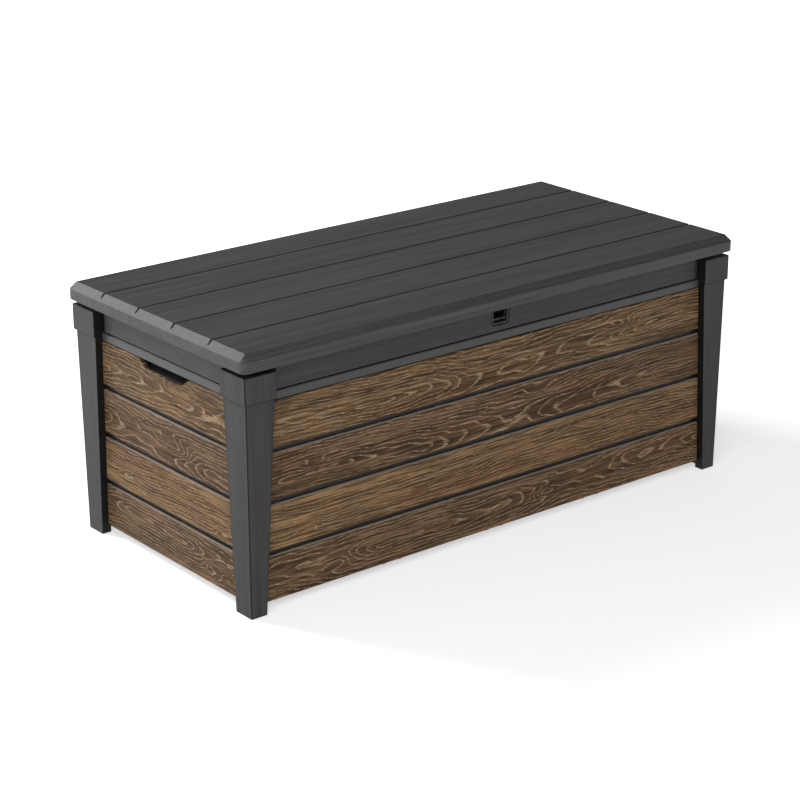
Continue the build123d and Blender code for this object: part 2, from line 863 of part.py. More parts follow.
# ======================================================================= lock
with BuildPart() as lock_bezel:
    # A U-shaped ring in the window of the skirt.
    bezel_plane = Plane.XZ.offset(bezel_face)
    bezel_width = lock_width - 2 * bezel_margin
    bezel_radius = lock_radius - bezel_margin
    ring = u_outline(bezel_plane, bezel_width, bezel_low, bezel_radius)
    extrude(ring, amount=-bezel_depth)
    window_width = bezel_width - 2 * bezel_wall
    window = u_outline(bezel_plane, window_width, bezel_low + bezel_wall, bezel_radius - bezel_wall)
    extrude(window, amount=bezel_depth, both=True, mode=Mode.SUBTRACT)
    # The hasp reaches back over the staple.
    hasp_front = bezel_face - bezel_wall
    with Locations((0, -hasp_front, hasp_z)):
        Box(
            bezel_width - bezel_wall,
            hasp_front - lock_back - hasp_back_gap,
            hasp_thickness,
            align=upward,
        )
    drill([(0, lock_hole_y, hasp_z)], (0, 0, 1), hasp_thickness, radius=hasp_hole_radius)
save(lock_bezel.part, "lock_bezel")

with BuildPart() as lock_staple:
    with Locations((0, -staple_tip, staple_z)):
        Box(staple_width, staple_tip - lock_back, hasp_thickness, align=upward)
    outer_corners = lock_staple.edges().filter_by(Axis.Z).group_by(Axis.Y)[0]
    fillet(outer_corners, plate_corner_radius)
    with Locations((0, -lock_back - hasp_thickness, staple_flange_low)):
        Box(staple_flange_width, hasp_thickness, staple_flange_height, align=upward)
    drill([(0, lock_hole_y, staple_z)], (0, 0, 1), hasp_thickness, radius=hasp_hole_radius)
    drill(staple_screw_spots(), (0, 1, 0), hasp_thickness)
save(lock_staple.part, "lock_staple")

staple_screws = [screw(spot, (0, 1, 0), staple_screw_bite) for spot in staple_screw_spots()]
save_group(staple_screws, "staple_screws")


# ===================================================================== hinges
def barrel(x, length, radius, mode=Mode.ADD):
    """A round bar along the hinge axis, centred at x."""
    plane = Plane(origin=(x - length / 2, hinge_y, hinge_z), z_dir=(1, 0, 0))
    step_along(plane, 0, length, radius, mode)


def make_body_leaf(x):
    """An angle on the rear panel whose arm carries the two outer knuckles."""
    face_y = rear.face(lip_top, plate_depth)
    arm_z = hinge_z - knuckle_radius
    leaf_low = lip_top - leaf_drop
    room = 2 * (knuckle_radius + slide_gap)
    with BuildPart() as leaf:
        with Locations((x, face_y, leaf_low)):
            Box(leaf_width, leaf_thickness, arm_z + leaf_thickness - leaf_low, align=upward)
        with Locations((x, face_y, arm_z)):
            Box(leaf_width, hinge_y - face_y, leaf_thickness, align=upward)
        barrel(x, leaf_width, knuckle_radius)
        with Locations((x, hinge_y, hinge_z)):
            Box(knuckle_length + 2 * knuckle_gap, room, room, mode=Mode.SUBTRACT)
        barrel(x, leaf_width, pin_radius + pin_clearance, Mode.SUBTRACT)
        drill(body_leaf_screw_spots(x), (0, -1, 0), leaf_thickness)
    return leaf.part


def make_lid_leaf(x):
    """A plate under the lid frame with the middle knuckle."""
    with BuildPart() as leaf:
        with Locations((x, hinge_y - leaf_reach, frame_z - leaf_thickness)):
            Box(leaf_width, leaf_reach, leaf_thickness, align=upward)
        with Locations((x, hinge_y - knuckle_radius, hinge_z)):
            Box(knuckle_length, knuckle_radius, frame_z - hinge_z, align=upward)
        barrel(x, knuckle_length, knuckle_radius)
        barrel(x, knuckle_length, pin_radius + pin_clearance, Mode.SUBTRACT)
        drill(lid_leaf_screw_spots(x), (0, 0, 1), leaf_thickness)
    return leaf.part


def make_pin(x):
    with BuildPart() as pin:
        barrel(x, leaf_width + 2 * pin_head_height, pin_radius)
        for side in (-1, 1):
            barrel(x + side * (leaf_width + pin_head_height) / 2, pin_head_height, pin_head_radius)
    return pin.part


body_leaf_screws = []
lid_leaf_screws = []
for name, x in zip(hinge_names, hinge_places):
    save(make_body_leaf(x), f"{name}_hinge_body_leaf")
    save(make_lid_leaf(x), f"{name}_hinge_lid_leaf")
    save(make_pin(x), f"{name}_hinge_pin")
    body_leaf_screws += [screw(spot, (0, -1, 0), leaf_screw_bite) for spot in body_leaf_screw_spots(x)]
    lid_leaf_screws += [screw(spot, (0, 0, 1), leaf_screw_bite) for spot in lid_leaf_screw_spots(x)]
save_group(body_leaf_screws, "hinge_body_screws")
save_group(lid_leaf_screws, "hinge_lid_screws")


# ===================================================================== struts
bore_radius = cylinder_radius - cylinder_wall
strut_plane = Plane(origin=(strut_x, strut_foot.Y, strut_foot.Z), z_dir=strut_line)
foot_eye = Plane(origin=(strut_x - eye_width / 2, strut_foot.Y, strut_foot.Z), z_dir=(1, 0, 0))
head_eye = Plane(origin=(strut_x - eye_width / 2, strut_head.Y, strut_head.Z), z_dir=(1, 0, 0))

with BuildPart() as strut_cylinder:
    step_along(foot_eye, 0, eye_width, eye_radius)
    step_along(strut_plane, 0, cylinder_start + cylinder_cap, neck_radius)
    step_along(strut_plane, cylinder_start, cylinder_length, cylinder_radius)
    bore_length = cylinder_length - cylinder_cap - cylinder_guide
    step_along(strut_plane, bore_start, bore_length, bore_radius, Mode.SUBTRACT)
    guide_start = bore_start + bore_length
    step_along(strut_plane, guide_start, cylinder_guide, rod_radius + rod_clearance, Mode.SUBTRACT)
    step_along(foot_eye, 0, eye_width, stud_radius + stud_clearance, Mode.SUBTRACT)

with BuildPart() as strut_rod:
    step_along(strut_plane, rod_start, rod_length, rod_radius)
    step_along(strut_plane, rod_start, piston_length, bore_radius - piston_clearance)
    step_along(strut_plane, strut_length - rod_socket, rod_socket, neck_radius)
    step_along(head_eye, 0, eye_width, eye_radius)
    # The stud stops just short of the lid bracket.
    stud_reach = eye_width / 2 + cylinder_radius + tab_gap - stud_gap
    step_along(head_eye, 0, stud_reach, stud_radius)

with BuildPart() as foot_bracket:
    with Locations((pad_face - plate_thickness / 2, strut_foot.Y, strut_foot.Z)):
        Box(plate_thickness, plate_size, plate_size)
    fillet(foot_bracket.edges().filter_by(Axis.X), plate_corner_radius)
    bracket_plane = Plane(
        origin=(pad_face - plate_thickness, strut_foot.Y, strut_foot.Z),
        z_dir=(-1, 0, 0),
    )
    shoulder_reach = strut_offset - eye_width / 2 - stud_gap
    journal = eye_width + 2 * stud_gap
    step_along(bracket_plane, 0, shoulder_reach, stud_head_radius)
    step_along(bracket_plane, shoulder_reach, journal, stud_radius)
    step_along(bracket_plane, shoulder_reach + journal, stud_head_height, stud_head_radius)
    drill(foot_bracket_screw_spots(1), (1, 0, 0), plate_thickness)

with BuildPart() as head_bracket:
    tab_x = strut_x + cylinder_radius + tab_gap
    tab_low = strut_head.Z - tab_drop
    tab_y = strut_head.Y - plate_size / 2
    with Locations((tab_x, tab_y, tab_low)):
        Box(
            plate_thickness,
            tab_length,
            frame_z - tab_low,
            align=(Align.MIN, Align.MIN, Align.MIN),
        )
    lower_edges = head_bracket.edges().filter_by(Axis.X).group_by(Axis.Z)[0]
    fillet(lower_edges, plate_corner_radius)
    with Locations((tab_x + plate_thickness, tab_y, frame_z - plate_thickness)):
        Box(
            plate_size,
            tab_length,
            plate_thickness,
            align=(Align.MAX, Align.MIN, Align.MIN),
        )
    drill(head_bracket_screw_spots(1), (0, 0, 1), plate_thickness)

strut_pieces = {
    "strut_cylinder": strut_cylinder.part,
    "strut_rod": strut_rod.part,
    "strut_foot_bracket": foot_bracket.part,
    "strut_head_bracket": head_bracket.part,
}
for name, piece in strut_pieces.items():
    save(piece, f"right_{name}")
    save(piece.mirror(Plane.YZ), f"left_{name}")

foot_screws = []
head_screws = []
for side in (-1, 1):
    foot_screws += [screw(spot, (side, 0, 0), plate_screw_bite) for spot in foot_bracket_screw_spots(side)]
    head_screws += [screw(spot, (0, 0, 1), plate_screw_bite) for spot in head_bracket_screw_spots(side)]
save_group(foot_screws, "strut_foot_screws")
save_group(head_screws, "strut_head_screws")
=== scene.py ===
"""Looks of a moulded deck storage box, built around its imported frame.

The boards on the four walls are surfaces with a raised wood grain. Every other
piece keeps its own shape and is given a procedural finish. All lengths are in
metres: +X runs along the box, the front faces -Y and +Z is up.
"""

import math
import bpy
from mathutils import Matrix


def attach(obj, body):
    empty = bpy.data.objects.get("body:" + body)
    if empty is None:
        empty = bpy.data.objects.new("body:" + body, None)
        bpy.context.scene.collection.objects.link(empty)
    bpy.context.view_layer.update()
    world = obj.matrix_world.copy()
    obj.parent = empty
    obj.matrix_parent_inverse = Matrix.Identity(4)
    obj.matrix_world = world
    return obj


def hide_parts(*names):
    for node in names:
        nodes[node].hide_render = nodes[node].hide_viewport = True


bl_info = {
    "name": "Deck Storage Box Looks",
    "version": (1, 0, 0),
    "blender": (4, 5, 0),
    "location": "View3D > Sidebar > Deck Box",
    "description": "Wood-grained boards, moulded resin finishes and a soft studio stage",
    "category": "Object",
}

from functools import partial

import bpy
import numpy as np
from bpy.props import FloatProperty, FloatVectorProperty, IntProperty, PointerProperty
from mathutils import Matrix, Vector

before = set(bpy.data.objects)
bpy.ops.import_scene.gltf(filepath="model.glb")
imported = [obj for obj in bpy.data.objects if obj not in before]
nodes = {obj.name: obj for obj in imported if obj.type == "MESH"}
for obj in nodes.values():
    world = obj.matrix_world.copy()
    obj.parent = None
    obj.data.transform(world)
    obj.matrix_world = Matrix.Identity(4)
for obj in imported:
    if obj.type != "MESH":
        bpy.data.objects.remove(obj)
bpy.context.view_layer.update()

WALL_ANGLES = {"front": 0.0, "right": 90.0, "rear": 180.0, "left": 270.0}
BOARD_ROWS = (1, 2, 3, 4)
# How strongly the boards of each row are streaked with red.
RED_STREAKS = {1: 0.25, 2: 0.35, 3: 0.60, 4: 0.30}
# Height of the tree's heart over each row, in board heights. The heart of the second
# row lies well above the board, so its grain is straight.
HEARTS = {1: 0.55, 2: 2.10, 3: 0.30, 4: 0.42}
# Near black of the painted shade in the grooves between the boards, under the lid's edge and on the
# posts, and of the painted dark line of shade and reflection along a post's corner.
SHADOW = (0.004, 0.004, 0.004)
WHITE = (1.0, 1.0, 1.0)
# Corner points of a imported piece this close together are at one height.
NEAR = 1e-4
# Middle of the box's height, which the camera and the lights face.
MIDDLE = Vector((0.0, 0.0, 0.3))
# Place, size and colour of each soft light.
LIGHTS = {
    "key": ((-4.4, -2.8, 2.6), 3.0, (1.0, 0.99, 0.97)),
    "front": ((-1.9, -3.7, 4.2), 3.0, (1.0, 0.985, 0.95)),
    "rim": ((-1.9, 4.0, 3.3), 2.2, (0.97, 0.985, 1.0)),
}


# ------------------------------------------------------------------ settings
def colour_setting(name, description, default):
    return FloatVectorProperty(
        name=name,
        description=description,
        default=default,
        size=3,
        min=0.0,
        max=1.0,
        subtype="COLOR",
    )


def length_setting(name, description, default):
    return FloatProperty(
        name=name,
        description=description,
        default=default,
        precision=5,
        unit="LENGTH",
    )


class BoardSettings(bpy.types.PropertyGroup):
    """Sizes and colours of the wood-grained boards."""

    edge_ease: length_setting("Edge ease", "How far the long edges are eased", 0.0025)
    relief: length_setting("Relief", "Height of the raised grain", 0.00022)
    column_width: length_setting("Column width", "Mesh spacing along a board", 0.004)
    face_rows: IntProperty(
        name="Face rows",
        description="Mesh rows up the face of a board",
        default=40,
        min=8,
    )
    ring_width: length_setting("Ring width", "Width of one growth ring", 0.0076)
    pith_depth: length_setting("Pith depth", "How far the pith swings behind the face", 0.021)
    row_1: colour_setting("Lowest row", "Dark brown of the lowest boards", (0.108, 0.063, 0.033))
    row_2: colour_setting("Second row", "Golden tan of the second boards", (0.150, 0.090, 0.043))
    row_3: colour_setting("Third row", "Reddish brown of the third boards", (0.104, 0.060, 0.033))
    row_4: colour_setting("Top row", "Warm brown of the top boards", (0.122, 0.073, 0.036))
    pore: colour_setting("Pore filling", "Pale filling of the open grain", (0.36, 0.26, 0.165))
    # Painted highlight along the top edge of a board, with rubbed-pale wear.
    lip: colour_setting("Lip", "Pale rubbed edge along the top of a board", (0.25, 0.21, 0.18))


class ResinSettings(bpy.types.PropertyGroup):
    """Colours of the plain moulded pieces."""

    lid: colour_setting("Lid", "Dark grey of the planked lid", (0.060, 0.061, 0.058))
    posts: colour_setting("Posts", "Grey of the corner posts", (0.036, 0.0365, 0.0355))
    skirt: colour_setting("Skirt", "Grey of the lid frame and its skirts", (0.038, 0.0375, 0.0365))
    panels: colour_setting("Panels", "Grey of the wall panels and the rim", (0.044, 0.045, 0.045))


class StageSettings(bpy.types.PropertyGroup):
    """The camera, the lights and the floor."""

    azimuth: FloatProperty(
        name="Azimuth",
        description="Turn of the camera round the box, in degrees",
        default=-38.80,
        unit="NONE",
    )
    elevation: FloatProperty(
        name="Elevation",
        description="How far the camera looks down, in degrees",
        default=19.97,
        unit="NONE",
    )
    roll: FloatProperty(
        name="Roll", description="Roll of the camera, in degrees", default=-0.166, unit="NONE"
    )
    distance: length_setting("Distance", "Camera distance", 5.4434)
    sideways: length_setting("Sideways", "Camera offset to its right", -0.0272)
    upwards: length_setting("Upwards", "Camera offset along its own up", -0.0504)
    lens: FloatProperty(name="Lens", description="Focal length", default=102.61, unit="CAMERA")
    floor_size: length_setting("Floor size", "Side of the square floor", 14.0)
    key_power: FloatProperty(
        name="Key power", description="Power of the large soft light", default=80.0, unit="POWER"
    )
    front_power: FloatProperty(
        name="Front power", description="Power of the light in front", default=46.0, unit="POWER"
    )
    rim_power: FloatProperty(
        name="Rim power",
        description="Power of the light behind the left end",
        default=250.0,
        unit="POWER",
    )
    sky_light: FloatProperty(
        name="Sky light", description="Strength of the light from all round", default=0.22, unit="NONE"
    )
    floor_glow: FloatProperty(
        name="Floor glow",
        description="Strength of the light from the floor near the box",
        default=0.54,
        unit="NONE",
    )


# --------------------------------------------------------------- shader maths
class Amount:
    """A number that changes over a surface. An expression on it adds Math nodes."""

    def __init__(self, finish, socket):
        self.finish = finish
        self.socket = socket

    def maths(self, operation, *others):
        values = dict(enumerate((self, *others)))
        return self.finish.amount("ShaderNodeMath", {"operation": operation}, values)

    def __add__(self, other):
        return self.maths("ADD", other)

    def __sub__(self, other):
        return self.maths("SUBTRACT", other)

    def __mul__(self, other):
        return self.maths("MULTIPLY", other)

    def __gt__(self, other):
        return self.maths("GREATER_THAN", other)

    def __rsub__(self, other):
        return (self * -1.0) + other

    def __abs__(self):
        return self.maths("ABSOLUTE")

    __radd__ = __add__
    __rmul__ = __mul__

    def fraction(self):
        return self.maths("FRACT")

    def smaller(self, other):
        return self.maths("MINIMUM", other)

    def larger(self, other):
        return self.maths("MAXIMUM", other)

    def clamped(self):
        return self.larger(0.0).smaller(1.0)

    def between(self, low, high):
        """0 below low, 1 above high and a smooth step from one to the other."""
        values = {"Value": self, "From Min": low, "From Max": high}
        settings = {"interpolation_type": "SMOOTHSTEP"}
        return self.finish.amount("ShaderNodeMapRange", settings, values)


class NodeTree:
    """An emptied node tree, and the one way in which nodes are added to it."""

    def __init__(self, tree):
        self.tree = tree
        self.tree.nodes.clear()

    def add(self, kind, settings=None, values=None):
        """A node of any kind: its settings are set first, then its sockets are filled."""
        node = self.tree.nodes.new(kind)
        for key, value in (settings or {}).items():
            if key == "stops":
                self.set_stops(node.color_ramp, value)
            else:
                setattr(node, key, value)
        for key, value in (values or {}).items():
            self.fill(node.inputs[key], value)
        return node

    def amount(self, kind, settings, values):
        return Amount(self, self.add(kind, settings, values).outputs[0])

    def fill(self, socket, value):
        if isinstance(value, Amount):
            value = value.socket
        if isinstance(value, bpy.types.NodeSocket):
            self.tree.links.new(value, socket)
        elif socket.type == "RGBA" and len(value) == 3:
            socket.default_value = (*value, 1.0)
        else:
            socket.default_value = value

    @staticmethod
    def set_stops(ramp, stops):
        while len(ramp.elements) < len(stops):
            ramp.elements.new(1.0)
        for element, (place, colour) in zip(ramp.elements, stops):
            element.position = place
            element.color = (*colour, 1.0)


class Finish(NodeTree):
    """One procedural material and the nodes that make it."""

    def __init__(self, name, constants):
        self.material = bpy.data.materials.new(name)
        self.material.use_nodes = True
        super().__init__(self.material.node_tree)
        self.shader = self.add("ShaderNodeBsdfPrincipled", {}, constants)
        self.add("ShaderNodeOutputMaterial", {}, {"Surface": self.shader.outputs["BSDF"]})

    def place(self, scale, shift=(0.0, 0.0, 0.0)):
        """Object coordinates, stretched by a scale along each axis."""
        source = self.add("ShaderNodeTexCoord").outputs["Object"]
        values = {"Vector": source, "Location": shift, "Scale": scale}
        return self.add("ShaderNodeMapping", {}, values).outputs["Vector"]

    def axes(self):
        """The three object coordinates, as amounts."""
        source = self.add("ShaderNodeTexCoord").outputs["Object"]
        node = self.add("ShaderNodeSeparateXYZ", {}, {"Vector": source})
        return [Amount(self, output) for output in node.outputs]

    def grain_place(self, scale):
        """The board's own grain coordinates: along it, through it and up it."""
        source = self.add("ShaderNodeAttribute", {"attribute_name": "grain"}).outputs["Vector"]
        values = {"Vector": source, "Scale": scale}
        return self.add("ShaderNodeMapping", {}, values).outputs["Vector"]

    def noise(self, place, detail, roughness):
        """Soft noise from 0 to 1, whose grains are as large as the place's scale says."""
        values = {"Vector": place, "Scale": 1.0, "Detail": detail, "Roughness": roughness}
        return self.amount("ShaderNodeTexNoise", {}, values)

    def blend(self, factor, first, second):
        """A colour mixed from two others: the first at 0 and the second at 1."""
        values = {0: factor, 6: first, 7: second}
        return self.add("ShaderNodeMix", {"data_type": "RGBA"}, values).outputs[2]

    def ramp(self, factor, stops):
        return self.add("ShaderNodeValToRGB", {"stops": stops}, {"Fac": factor}).outputs["Color"]

    def wear(self, colour, roughness, height, depth):
        """Connects what changes over the surface: colour, roughness and relief."""
        self.fill(self.shader.inputs["Base Color"], colour)
        self.fill(self.shader.inputs["Roughness"], roughness)
        values = {"Height": height, "Distance": depth, "Strength": 1.0}
        bump = self.add("ShaderNodeBump", {}, values)
        self.fill(self.shader.inputs["Normal"], bump.outputs["Normal"])
        return self.material


def shade(colour, factor):
    """A colour made lighter or darker: each channel times a factor, up to 1."""
    return tuple(min(1.0, channel * factor) for channel in colour)


# ------------------------------------------------------------------- finishes
def streaked_resin(name, colour, streaks, contrast, roughness, sheen, shadow=None):
    """Grey resin with fine streaks over broad ones, and slow pale clouds.

    The streaks' scale is how often they repeat per metre along each axis. A shadow
    is a function that says where painted shade darkens the resin to near black.
    """
    broad_share = 0.22
    finish = Finish(name, {"Specular IOR Level": sheen})
    fine = finish.noise(finish.place(streaks), detail=4.0, roughness=0.6)
    broad_place = finish.place(tuple(value * broad_share for value in streaks), (3.1, 1.7, 5.3))
    broad = finish.noise(broad_place, detail=2.0, roughness=0.5)
    cloud = finish.noise(finish.place((3.0, 3.0, 3.0)), detail=2.0, roughness=0.5)
    pattern = (fine * 0.6 + broad * 0.4).between(0.30, 0.70)
    tone = finish.ramp(
        pattern,
        [(0.0, shade(colour, 1.0 - contrast)), (0.5, colour), (1.0, shade(colour, 1.0 + contrast))],
    )
    tone = finish.blend(cloud * 0.18, tone, shade(colour, 1.5))
    # Painted shade: where the shadow function says, the resin is darkened to near black.
    if shadow is not None:
        tone = finish.blend(shadow(finish), tone, SHADOW)
    return finish.wear(tone, fine * 0.16 + (roughness - 0.08), fine, 0.00022)


def painted_lid_shadow(finish):
    """Painted shadow: how dark the top of the skirts is painted, where the lid's edge shades them."""
    start, full, strength = 0.0080, 0.0045, 0.85
    lid_edge = min(corner[2] for corner in nodes["lid_shell"].bound_box)
    z = finish.axes()[2]
    return z.between(lid_edge - start, lid_edge - full) * (1.0 - (z > lid_edge)) * strength


def moulded_resin(name, colour, roughness=0.55, shadow=None):
    """Plain dark resin with a fine spark-eroded texture. A shadow, when given, is painted shade that
    darkens the resin to near black.
    """
    finish = Finish(name, {"Specular IOR Level": 0.40})
    speckle = finish.noise(finish.place((900.0, 900.0, 900.0)), detail=2.0, roughness=0.6)
    cloud = finish.noise(finish.place((6.0, 6.0, 6.0)), detail=3.0, roughness=0.55)
    tone = finish.blend(cloud.between(0.3, 0.7) * 0.35, shade(colour, 0.88), shade(colour, 1.18))
    # Painted shade: where the shadow function says, the resin is darkened to near black.
    if shadow is not None:
        tone = finish.blend(shadow(finish), tone, SHADOW)
    return finish.wear(tone, cloud * 0.15 + (roughness - 0.07), speckle, 0.00012)


def wood_grain(name, colour, pore, lip, streak_strength):
    """Printed and embossed wood.

    Each ring darkens towards its edge and ends in a pale, broken line of pores.
    Fine fibres run along the board over a slower drift of tone, and the top edge
    is painted pale: a painted highlight where the eased edge catches light, with
    rubbed-pale wear. Each noise's scale is how often it repeats per metre along the
    board, through it and up it.
    """
    finish = Finish(name, {"Specular IOR Level": 0.08})
    rings_node = finish.add("ShaderNodeAttribute", {"attribute_name": "rings"})
    lip_highlight_node = finish.add("ShaderNodeAttribute", {"attribute_name": "lip"})
    rings = Amount(finish, rings_node.outputs["Fac"])
    waver = finish.noise(finish.grain_place((6.0, 1.0, 60.0)), detail=3.0, roughness=0.6)
    feather = finish.noise(finish.grain_place((70.0, 1.0, 380.0)), detail=2.0, roughness=0.5)
    phase = (rings + waver * 0.6 + feather * 0.35).fraction()
    fibres = finish.noise(finish.grain_place((10.0, 1.0, 300.0)), detail=4.0, roughness=0.7)
    fibres = fibres.between(0.39, 0.62)
    strands = finish.noise(finish.grain_place((3.0, 1.0, 75.0)), detail=3.0, roughness=0.6)
    strands = strands.between(0.32, 0.68)
    drift = finish.noise(finish.grain_place((1.4, 1.0, 14.0)), detail=2.0, roughness=0.5)
    pores = finish.noise(finish.grain_place((36.0, 1.0, 620.0)), detail=2.0, roughness=0.7)

    body = phase * 0.16 + strands * 0.26 + fibres * 0.58
    tone = finish.ramp(
        body,
        [
            (0.0, shade(colour, 0.16)),
            (0.35, shade(colour, 0.62)),
            (0.65, shade(colour, 1.26)),
            (1.0, shade(colour, 2.2)),
        ],
    )
    red = (colour[0] * 0.62, colour[1] * 0.36, colour[2] * 0.28)
    tone = finish.blend(drift.between(0.50, 0.70) * streak_strength, tone, red)
    line = phase.between(0.74, 0.88) * (1.0 - phase.between(0.97, 1.0))
    broken = pores.between(0.38, 0.57)
    fill = (line * broken * drift.between(0.24, 0.52) * 0.9).clamped()
    tone = finish.blend(fill, tone, pore)
    # Painted highlight with rubbed-pale wear along the top edge of the board.
    tone = finish.blend(Amount(finish, lip_highlight_node.outputs["Fac"]), tone, lip)
    relief = fibres * 0.5 + pores * 0.3 - fill * 0.5
    return finish.wear(tone, fibres * 0.12 + 0.48, relief, 0.00035)


def metal(name, colour, roughness, brushing, metallic=1.0):
    """Metal with fine scratches and slightly uneven gloss."""
    finish = Finish(name, {"Metallic": metallic})
    scratches = finish.noise(finish.place(brushing), detail=3.0, roughness=0.65)
    patches = finish.noise(finish.place((40.0, 40.0, 40.0)), detail=3.0, roughness=0.5)
    tone = finish.blend(patches.between(0.35, 0.7), shade(colour, 0.85), shade(colour, 1.1))
    gloss = scratches * 0.14 + patches * 0.1 + (roughness - 0.12)
    return finish.wear(tone, gloss, scratches, 0.00006)


def give(material, *names):
    """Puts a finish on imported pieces, which keep their own shape."""
    for name in names:
        for slot in nodes[name].material_slots:
            slot.material = material


# ---------------------------------------------------------------- board shape
def turn_flat(points, degrees):
    """Turns an array of points about the vertical axis."""
    angle = math.radians(degrees)
    turned = points.copy()
    turned[..., 0] = points[..., 0] * math.cos(angle) - points[..., 1] * math.sin(angle)
    turned[..., 1] = points[..., 0] * math.sin(angle) + points[..., 1] * math.cos(angle)
    return turned


class BoardOutline:
    """Edges of one packed board, read from its corner points with its wall facing -Y."""

    def __init__(self, node, angle, ease):
        mesh = nodes[node].data
        points = np.empty(len(mesh.vertices) * 3)
        mesh.vertices.foreach_get("co", points)
        points = turn_flat(points.reshape(-1, 3), -angle)
        self.low, self.high = points[:, 2].min(), points[:, 2].max()
        at_low = points[points[:, 2] < self.low + NEAR]
        at_high = points[points[:, 2] > self.high - NEAR]
        self.half_low, self.half_high = at_low[:, 0].max(), at_high[:, 0].max()
        self.back_low, self.back_high = at_low[:, 1].max(), at_high[:, 1].max()
        self.thickness = self.back_low - at_low[:, 1].min() + ease
        middle = (points[:, 2] > self.low + 2 * ease) & (points[:, 2] < self.high - 2 * ease)
        self.notch = self.find_notch(points[middle], at_high)

    def find_notch(self, inner, at_high):
        """Depth and half widths of a hand hole in the top edge, or None."""
        if len(inner) == 0:
            return None
        floor = inner[:, 2].min()
        half_floor = abs(inner[inner[:, 2] < floor + NEAR][:, 0]).max()
        edge = at_high[abs(at_high[:, 0]) < self.half_high * 0.8]
        return floor, half_floor, abs(edge[:, 0]).max()

    def half(self, z):
        """Half length at a height: it changes evenly from the lower edge to the upper."""
        share = (z - self.low) / (self.high - self.low)
        return self.half_low + (self.half_high - self.half_low) * share

    def back(self, z):
        """Place of the leaning back at a height."""
        share = (z - self.low) / (self.high - self.low)
        return self.back_low + (self.back_high - self.back_low) * share

    def top(self, along):
        """Height of the top edge: level, or dropping in straight slopes to the hand hole."""
        level = np.full_like(along, self.high)
        if self.notch is None:
            return level
        floor, half_floor, half_top = self.notch
        slope = (self.high - floor) / (half_top - half_floor)
        return np.clip(floor + (abs(along) - half_floor) * slope, floor, self.high)

    def columns(self, spacing):
        """Places along the board, with extra ones where the top edge changes slope."""
        half = self.half((self.low + self.high) / 2)
        count = int(2 * half / spacing)
        places = np.linspace(-half, half, count + 1)
        if self.notch is not None:
            breaks = np.array(self.notch[1:])
            places = np.concatenate([places, breaks, -breaks])
        return np.unique(places.round(6)), half


class LeaningFaces:
    """Where the leaning faces lie, read from a packed post and the lowest boards."""

    def __init__(self, ease):
        walls = ("left", "front")
        sides = [BoardOutline(f"{wall}_board_1", WALL_ANGLES[wall], ease) for wall in walls]
        post = np.array([vertex.co[:] for vertex in nodes["front_left_post"].data.vertices])
        reach = abs(post[:, :2])
        self.lean = [(side.back_low - side.back_high) / (side.high - side.low) for side in sides]
        self.plate = [-side.back_low - lean * side.low for side, lean in zip(sides, self.lean)]
        self.foot = reach[post[:, 2] < NEAR].max(axis=0)
        self.foot_edge = reach[post[:, 2] < NEAR].min(axis=0)
        self.capital = reach.max(axis=0)
        self.capital_edge = reach.min(axis=0)
        spans = [(side.half_high - side.half_low) / (side.high - side.low) for side in sides]
        self.taper = spans[::-1]
        self.leg_height = post[reach[:, 0] > self.capital[0] - NEAR][:, 2].min()
        self.rim_low = BoardOutline("front_board_4", 0.0, ease).high

    def inside(self, finish, starts):
        """How far a point is inside the leaning planes: along x and along y."""
        x, y, z = finish.axes()
        planes = zip((x, y), starts, self.lean)
        return [z * lean + start - abs(axis) for axis, start, lean in planes]

    def post_shadow(self, finish, width):
        """How dark a post is painted: a painted dark line of shade and reflection along its corner, a
        painted shadow under its capital and painted shade where it meets the boards.
        """
        strength = 0.9
        x, y, z = finish.axes()
        above = z > self.leg_height
        leg_x, leg_y = self.inside(finish, self.foot)
        leg = leg_x.larger(leg_y) + above
        capital = (abs(x) * -1.0 + self.capital[0]).larger(abs(y) * -1.0 + self.capital[1])
        # Painted dark line of shade and reflection along the post's corner.
        line = 1.0 - leg.smaller(capital).between(width * 0.5, width)
        leg_edges = [
            abs(axis) - z * taper - edge
            for axis, edge, taper in zip((x, y), self.foot_edge, self.taper)
        ]
        capital_edges = [abs(axis) - edge for axis, edge in zip((x, y), self.capital_edge)]
        past_leg = leg_edges[0].smaller(leg_edges[1]) + above
        past_capital = capital_edges[0].smaller(capital_edges[1]) + (1.0 - above)
        # Painted shade on the flange ends that meet the boards.
        ends = 1.0 - past_leg.smaller(past_capital).between(width * 0.2, width * 0.4)
        # Painted shadow under the capital's lower edge.
        shadow_under_capital = 1.0 - abs(z - self.leg_height).between(width * 0.2, width * 0.5)
        return line.larger(ends).larger(shadow_under_capital) * strength

    def behind_boards(self, finish, depth):
        """Painted shade: 1 on the outer skin of a wall panel, below the rim strip, which darkens the
        grooves between the boards to near black.
        """
        z = finish.axes()[2]
        plate_x, plate_y = self.inside(finish, self.plate)
        skin = 1.0 - plate_x.smaller(plate_y).between(depth, 2.0 * depth)
        return skin * (1.0 - (z > self.rim_low))


